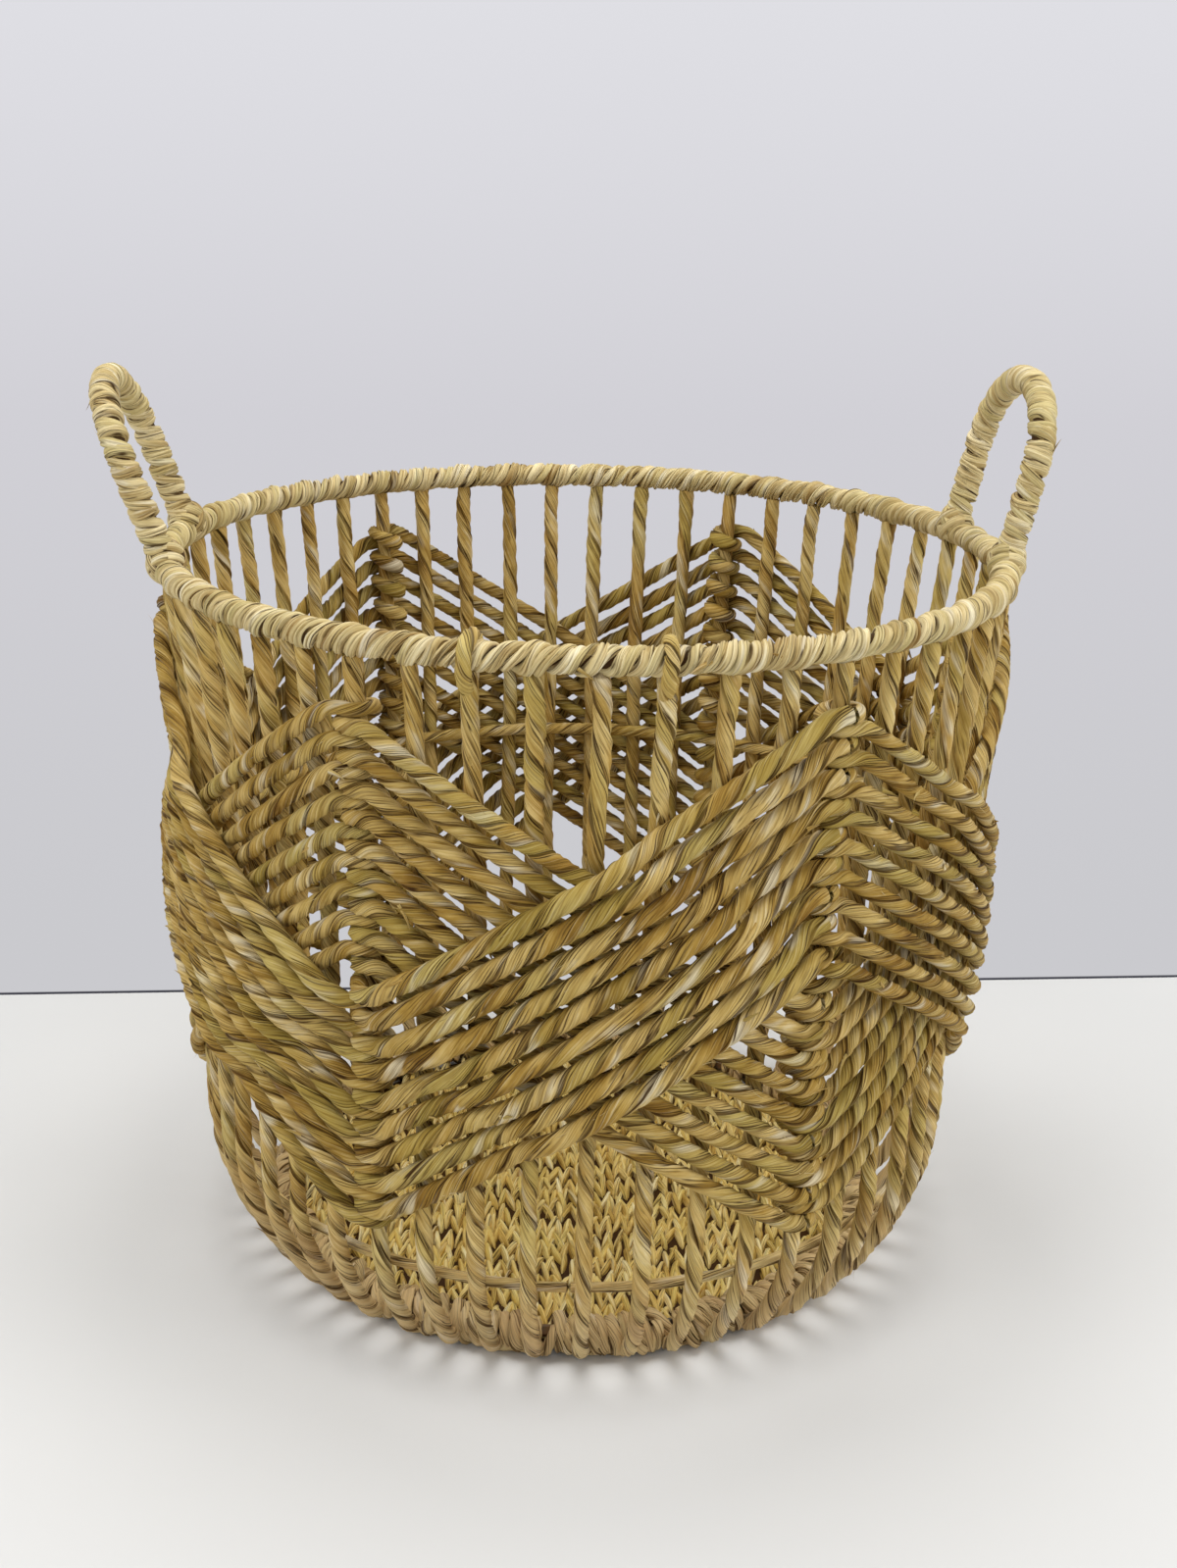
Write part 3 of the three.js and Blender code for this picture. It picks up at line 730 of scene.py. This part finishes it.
LEGS = {side: (turn - LEG_TURN, turn + LEG_TURN) for side, (turn, _) in HANDLES.items()}
RIM_PARTS = {"front": (LEGS["left"][1], LEGS["right"][0]), "right": LEGS["right"],
             "back": (LEGS["right"][1], LEGS["left"][0] + 2 * math.pi), "left": LEGS["left"]}
for side, (start, end) in RIM_PARTS.items():
    turns = np.linspace(start, end, max(12, int((end - start) * 60)))
    route = at(turns, RIM_RADIUS, RIM_Z)
    add_roots(route, RIM_WRAP)
    stakes = (stake_turn(np.arange(-STAKES, STAKES)) - start) * RIM_RADIUS
    stakes = stakes[(stakes > 0) & (stakes < (end - start) * RIM_RADIUS)]
    leaves = winding(route, UP, RIM_WRAP + 0.0005, pitch=0.0048, wide=1.42, starts=4,
                     crown=0.0021, sway=0.0015, swells=stakes)
    # The core under the winding is in painted shade.
    make(f"rim_winding_{side}", leaves + [core(route, UP, RIM_WRAP - 0.0022)], STRAW,
         [f"rim_wrap_{side}"], sharp=60, dark=True)


def arch(side):
    """A handle's middle line: straight legs from inside the rim's winding and a half circle,
    flattened by 3.5 mm, leaning outwards. Returns the points and the direction square to the
    arch's plane."""
    turn, lean = HANDLES[side]
    foot, flattened = 0.004, 0.0035
    out, across = at(turn, 1.0, 0.0), at(turn + np.pi / 2, 1.0, 0.0)
    rise = math.cos(lean) * UP + math.sin(lean) * out
    base = out * math.sqrt(RIM_RADIUS ** 2 - HANDLE_HALF ** 2) + np.array([0, 0, RIM_Z])
    leg = HANDLE_LENGTH - HANDLE_HALF
    angle = np.linspace(0, np.pi, 60)
    s = np.concatenate([[-HANDLE_HALF] * 2, -HANDLE_HALF * np.cos(angle[1:-1]),
                        [HANDLE_HALF] * 2])
    top = (HANDLE_HALF - flattened) * np.sin(angle[1:-1]) ** 0.9
    h = np.concatenate([[foot, leg], leg + top, [leg, foot]])
    points = base + across * s[:, None] + rise * h[:, None]
    return points, np.cross(across, rise)


for side in HANDLES:
    route, square = arch(side)
    add_roots(route[5:-5], HANDLE_WRAP)
    leaves = winding(route, square, HANDLE_WRAP + 0.0002, pitch=0.0045, wide=1.62, starts=2,
                     crown=0.0016, slant=0.0012, sway=0.0007, uneven=0.8, steps=30)
    # The core under the winding is in painted shade.
    make(f"handle_winding_{side}", leaves + [core(route, square, HANDLE_WRAP - 0.0021)], STRAW,
         [f"handle_wrap_{side}"], sharp=60, dark=True)


def lashings(side):
    """Leaves laid crosswise over each foot of a handle: two ovals round leg and rim together,
    square to the one diagonal, and two square to the other."""
    patches = []
    steep, apart, width, crown = 1.1, 0.0052, 0.0048, 0.0012
    for turn in LEGS[side]:
        centre = at(turn, RIM_RADIUS + 0.0006, RIM_Z + 0.0035)
        out, across = at(turn, 1.0, 0.0), at(turn + np.pi / 2, 1.0, 0.0)
        angle = np.linspace(0, 2 * np.pi, 60, endpoint=False)
        for way, size in ((-1, 0.0086), (1, 0.0090)):
            diagonal = unit(across + way * steep * UP)
            square = unit(UP - way * steep * across)
            for shift in (-apart / 2, apart / 2):
                around = square * np.cos(angle)[:, None] + out * np.sin(angle)[:, None]
                path = (centre + diagonal * (shift + 0.0006 * np.sin(angle + way))[:, None]
                        + square * (size * np.cos(angle))[:, None]
                        + out * ((size - 0.0010) * np.sin(angle))[:, None])
                patches.append(band(path, around, diagonal, width, crown))
    return patches


for side in HANDLES:
    make(f"handle_lashing_{side}", lashings(side), STRAW)


HOOKED = (-2, 1)  # stakes, counted from the front


def rim_hooks():
    """Stake ends that come up in front of the rim and over it."""
    patches = []
    # Radii and heights over a rim 350 mm up
    profile = np.array([(0.1975, 0.3330), (0.2040, 0.3395), (0.2078, 0.3470), (0.2065, 0.3555),
                        (0.2000, 0.3585), (0.1935, 0.3550), (0.1925, 0.3470)])
    for k in HOOKED:
        turn = float(stake_turn(k))
        points = at(turn + np.linspace(-0.006, 0.006, len(profile)), profile[:, 0],
                    profile[:, 1] - 0.350 + RIM_Z)
        points, places, length = smoothed(points, 0.0016)
        radius = 0.0031 * blunt(places, length, 0.001)
        axes = side_frame(directions(points), at(turn + np.pi / 2, 1.0, 0.0))
        patches.append(twisted(points, radius, 0.024, axes, places, length))
    return patches


make("rim_hooks", rim_hooks(), STAKE)


def hoop(node, radius, lay):
    """A cord on the circle that a CAD hoop follows, a little inside its box."""
    centre, half = middle(node)
    turns = np.linspace(0, 2 * np.pi, 400, endpoint=False)
    route, places, length = resample(at(turns, half.x - radius, centre.z), 0.0018, loop=True)
    axes = side_frame(directions(route, loop=True), UP)
    return twisted(route, np.full(len(route), radius), lay, axes, places, length, loop=True)


make("mid_hoop_cord", [hoop("mid_hoop", MID_HOOP, 0.034)], WEAVE, ["mid_hoop"])
make("lower_hoop_cord", [hoop("lower_hoop", LOWER_HOOP, 0.180)], STAKE,
     ["lower_hoop"])


def mat_bed():
    """The mat's bed, dark as painted shade between the stitches: a disc whose rounded edge comes
    down to the floor.
    """
    _, half = middle("base_mat")
    top, edge, sides = 2 * half.z - 0.0040, half.x, 96
    profile = np.array([[0.0005, top], [edge * 0.5, top], [edge - 0.002, top],
                        [edge - 0.0005, top - 0.0012], [edge, top / 2], [edge - 0.001, 0.0008],
                        [edge - 0.003, 0.0002], [edge * 0.5, 0.0002], [0.0005, 0.0002]])
    turns = np.linspace(0, 2 * np.pi, sides, endpoint=False)
    skin = at(turns[None], profile[:, :1], profile[:, 1:])[::-1]
    uv = np.zeros((len(profile), sides + 1, 2))
    return patch(skin[None], uv[None], ring=True)


def mat_stitches():
    """Leaf stitches in rows across the mat. Each is a plump spindle 20 mm long and 4 mm wide,
    tilted to one side or the other by turns, so that neighbours meet in a V, with its ends
    dipping into the bed of painted shade. What reaches past the mat's edge is drawn in to it."""
    _, half = middle("base_mat")
    edge, top = half.x - 0.002, 2 * half.z
    rows, columns = 0.0130, 0.0034
    i, j = np.meshgrid(np.arange(-45, 46), np.arange(-12, 13), indexing="ij")
    wander = 0.0022 * np.sin(j * 1.7 + i * 0.23)
    x = (i * columns).ravel() + rng.normal(0, 0.00045, i.size)
    y = (j * rows + (i % 2) * 0.0022 + wander).ravel() + rng.normal(0, 0.0014, i.size)
    tilt = (np.where(i % 2 == 0, 1, -1) * 0.22).ravel() + rng.normal(0, 0.10, i.size)
    inside = np.hypot(x, y) < edge - 0.002
    x, y, tilt = x[inside], y[inside], tilt[inside]
    along = np.linspace(-1, 1, 10)
    across = np.array([-1, -0.75, -0.3, 0.25, 0.72, 1])
    crown = np.array([-0.0034, -0.0006, 0.0011, 0.0012, -0.0005, -0.0034])  # height across it
    size = len(x)
    long = 0.0100 * rng.uniform(0.85, 1.12, size)[:, None, None]
    wide = 0.0020 * rng.uniform(0.78, 1.15, size)[:, None, None]
    bend = rng.normal(0, 0.0006, size)[:, None, None]
    taper = (1 - 0.8 * np.abs(along) ** 3)[None, :, None]
    a = along[None, :, None] * long
    body = taper * wide * across + bend * (1 - along ** 2)[None, :, None]
    lift = crown * np.sqrt(taper) - 0.0030 * (np.abs(along) ** 3)[None, :, None]
    lift = lift + rng.uniform(-0.0006, 0.0003, size)[:, None, None]
    cos, sin = np.cos(tilt)[:, None, None], np.sin(tilt)[:, None, None]
    px = x[:, None, None] + body * cos - a * sin
    py = y[:, None, None] + body * sin + a * cos
    within = np.minimum(1, edge / np.hypot(px, py))
    px, py = px * within, py * within
    pz = np.minimum(top - 0.0012 + lift + 0 * px, top)
    skin = np.stack([px, py, pz], -1)
    uv = np.empty(skin.shape[:3] + (2,))
    uv[..., 0] = a + rng.uniform(0, 40, size)[:, None, None]
    uv[..., 1] = (across * 0.47 + 0.48)[None, None, :] + rng.integers(0, 40, size)[:, None, None]
    return patch(skin[:, :, ::-1], uv[:, :, ::-1])


# The mat's bed, its last patch, is in painted shade.
make("mat", [mat_stitches(), mat_bed()], MAT, ["base_mat"], sharp=70, dark=True)


def edge_turns():
    """Turns of cord over the base's edge, four to each stake, from the mat's rim over the
    hoop and down to the floor, each leaning its own way and swelling on its way down."""
    patches = []
    # Radii and heights
    profile = np.array([(0.1450, 0.0075), (0.1490, 0.0155), (0.1555, 0.0150), (0.1590, 0.0090),
                        (0.1575, 0.0042), (0.1525, 0.0036)])
    each = 4
    for index in range(STAKES * each):
        turn = float(stake_turn((index + 1) / each)) + rng.normal(0, 0.006)
        lean = rng.normal(0.040, 0.050)
        t = np.linspace(-0.5, 0.5, len(profile))
        grow = rng.normal(0, 0.0009)
        points = at(turn + lean * t, profile[:, 0] + grow, profile[:, 1] * rng.uniform(0.88, 1.1))
        points, places, length = smoothed(points, 0.0015)
        swelling = 0.0031 * rng.uniform(0.80, 1.18) * (0.86 + 0.2 * places / length)
        radius = swelling * blunt(places, length, 0.0001)
        points[:, 2] = np.maximum(points[:, 2], radius * 1.13)
        axes = side_frame(directions(points), at(turn + np.pi / 2, 1.0, 0.0))
        patches.append(twisted(points, radius, 0.034 * rng.uniform(0.7, 1.3), axes, places,
                               length, rough=0.08, flat=0.14))
    return patches


make("base_edge_turns", edge_turns(), STAKE)


def rooted(count, spread):
    """Random places on the cords: the cord's middle and radius there, a way out, spread at
    random, and a way along the cord."""
    roots = np.concatenate(ROOTS)
    roots = roots[rng.integers(0, len(roots), count)]
    start, ahead, radius = roots[:, :3], roots[:, 3:6], roots[:, 6:7]
    out = unit(start * np.array([1, 1, 0.0]) + rng.normal(0, spread, (count, 3)))
    out = unit(out - (out * ahead).sum(1, keepdims=True) * ahead)
    return start, radius, out, ahead * rng.choice([-1, 1], (count, 1))


def curled(start, along, out, long, lift, t):
    """Paths that set off along a cord and lift away from it: at part t of the way they are
    long t along and long lift t^2 out."""
    return (start[:, None] + along[:, None] * (long[:, None] * t)
            + out[:, None] * ((long * lift)[:, None] * t * t))


def stray_fibres(count):
    """Short hairs of leaf that stand off the cords: three-sided, bent and thinning to a point."""
    start, radius, out, along = rooted(count, 0.10)
    long = rng.uniform(0.004, 0.011, (count, 1))
    t = np.linspace(0, 1, 6)[None, :, None]
    lift = rng.uniform(0.10, 0.55, (count, 1))
    path = curled(start + out * radius * 0.95, along, out, long, lift, t)
    side = np.cross(along, out)
    turns = np.linspace(0, 2 * np.pi, 3, endpoint=False)
    ring = (out[:, None, None] * np.cos(turns)[None, None, :, None]
            + side[:, None, None] * np.sin(turns)[None, None, :, None])
    thin = rng.uniform(0.00012, 0.00028, (count, 1, 1, 1)) * (1.02 - t[..., None])
    skin = path[:, :, None] + ring * thin
    uv = np.zeros((count, 6, 4, 2)) + rng.uniform(0, 40, (count, 1, 1, 1))
    return patch(skin[:, :, ::-1], uv, ring=True)


make("stray_fibres", [stray_fibres(460)], STRAW)


def leaf_tips(count):
    """Torn tips of leaf that stand off the cords: curled blades that narrow to a point."""
    start, radius, out, along = rooted(count, 0.06)
    side = np.cross(along, out)
    along = unit(along + side * rng.normal(0, 0.45, (count, 1)))
    side = np.cross(along, out)
    long = rng.uniform(0.005, 0.012, (count, 1))
    t = np.linspace(0, 1, 7)[None, :, None]
    lift = rng.uniform(0.15, 0.45, (count, 1))
    path = curled(start + out * radius * 0.9, along, out, long, lift, t)
    wide = rng.uniform(0.0007, 0.0016, (count, 1, 1)) * (1 - t) ** 0.7
    across = np.array([-1, -0.4, 0.4, 1])
    skin = (path[:, :, None] + side[:, None, None] * (wide * across)[..., None]
            + out[:, None, None] * (0.5 * wide * (1 - across ** 2))[..., None])
    uv = np.empty((count, 7, 4, 2))
    uv[..., 0] = (long * t[..., 0])[..., None] + rng.uniform(0, 40, (count, 1, 1))
    uv[..., 1] = across * 0.3 + 0.4
    return patch(skin, uv)


make("leaf_tips", [leaf_tips(150)], STAKE)


def staged(name, data):
    """A new object of the stage, which isn't part of the basket."""
    thing = bpy.data.objects.new(name, data)
    bpy.context.scene.collection.objects.link(thing)
    return thing


def sheet(name, corners, paint):
    """A flat sheet of the stage with the given corners."""
    mesh = bpy.data.meshes.new(name)
    mesh.from_pydata([tuple(corner) for corner in corners], [], [(0, 1, 2, 3)])
    mesh.materials.append(paint)
    staged(f"stage_{name}", mesh)


def floor_paint():
    """A pale grey with a faint gloss."""
    paint, _, shader = new_material("floor_paint")
    shader.inputs["Base Color"].default_value = (0.68, 0.68, 0.676, 1)
    shader.inputs["Roughness"].default_value = 0.7
    shader.inputs["Specular IOR Level"].default_value = 0.2
    return paint


def wall_paint():
    """A grey that shines by itself, paler upwards over a thin dark joint, and isn't there for
    light or from behind."""
    paint, t, shader = new_material("wall_paint")
    t.nodes.remove(shader)
    height = t.height()
    grey = t.steps(t.span(height, 0.0, 0.75), [(0.0, srgb(202, 202, 206)),
                                              (0.5, srgb(209, 208, 214)),
                                              (1.0, srgb(226, 226, 231))])
    grey = t.mix(t.span(height, 0.0012, 0.0022, 1.0, 0.0), grey, srgb(66, 66, 74))
    glow = t.node("Emission", {"Color": grey}).outputs[0]
    clear = t.node("BsdfTransparent").outputs[0]
    path = t.node("LightPath").outputs
    seen = t.math("MAXIMUM", path["Is Camera Ray"], path["Is Glossy Ray"])
    front = t.math("SUBTRACT", 1.0, t.node("NewGeometry").outputs["Backfacing"])
    both = t.node("MixShader", {0: t.math("MULTIPLY", seen, front), 1: clear, 2: glow})
    t.links.new(both.outputs[0], t.nodes["Material Output"].inputs["Surface"])
    return paint


def stage():
    """A pale floor, a wall behind the basket, an even pale sky and soft lamps from the front
    left, the right and above."""
    far, high = 12, 6
    sheet("floor", [(-far, -far, 0), (far, -far, 0), (far, far, 0), (-far, far, 0)], floor_paint())
    left, right = np.array([-0.3745, 0.2182, 0]), np.array([0.4094, 0.2845, 0])
    along = unit(right - left)
    left, right = left - far * along, right + far * along
    sheet("wall", [left, right, right + high * UP, left + high * UP], wall_paint())

    world = bpy.data.worlds.new("soft_sky")
    world.use_nodes = True
    sky = world.node_tree.nodes["Background"]
    sky.inputs["Color"].default_value = (0.98, 0.99, 1.0, 1)
    sky.inputs["Strength"].default_value = 0.69
    bpy.context.scene.world = world
    for name, place, energy in (("lamp_front", (-1.8, -1.3, 2.0), 21),
                                ("lamp_right", (2.1, -0.7, 1.5), 21),
                                ("lamp_above", (-0.1, 0.2, 2.3), 22)):
        lamp = bpy.data.lights.new(name, "AREA")
        lamp.shape, lamp.size, lamp.energy = "DISK", 1.5, energy
        lamp.color = (1.0, 0.985, 0.96)
        lamp = staged(name, lamp)
        lamp.location = place
        aim = Vector((0, 0, 0.15)) - lamp.location
        lamp.rotation_euler = aim.to_track_quat("-Z", "Y").to_euler()


stage()


def camera():
    """The photo's view: from the front and 19 degrees down, rolled a little."""
    eye, focal, photo_height, sensor = (0, -0.9328, 0.555), 1995, 1599, 36  # m, pixels, mm
    down, roll, yaw = math.radians(19.23), math.radians(1.30), math.radians(0.22)
    side = Vector((math.cos(yaw), -math.sin(yaw), 0))
    ahead = Vector((math.sin(yaw), math.cos(yaw), 0))
    look = ahead * math.cos(down) - Vector((0, 0, math.sin(down)))
    above = ahead * math.sin(down) + Vector((0, 0, math.cos(down)))
    x = side * math.cos(roll) + above * math.sin(roll)
    y = above * math.cos(roll) - side * math.sin(roll)
    data = bpy.data.cameras.new("photo_view")
    data.sensor_width = sensor
    data.lens = focal * sensor / photo_height
    data.clip_start = 0.05
    view = bpy.data.objects.new("photo_view", data)
    view.matrix_world = Matrix.Translation(eye) @ Matrix((x, y, -look)).transposed().to_4x4()
    bpy.context.scene.collection.objects.link(view)
    bpy.context.scene.camera = view


camera()
bpy.context.scene.view_settings.view_transform = "Standard"
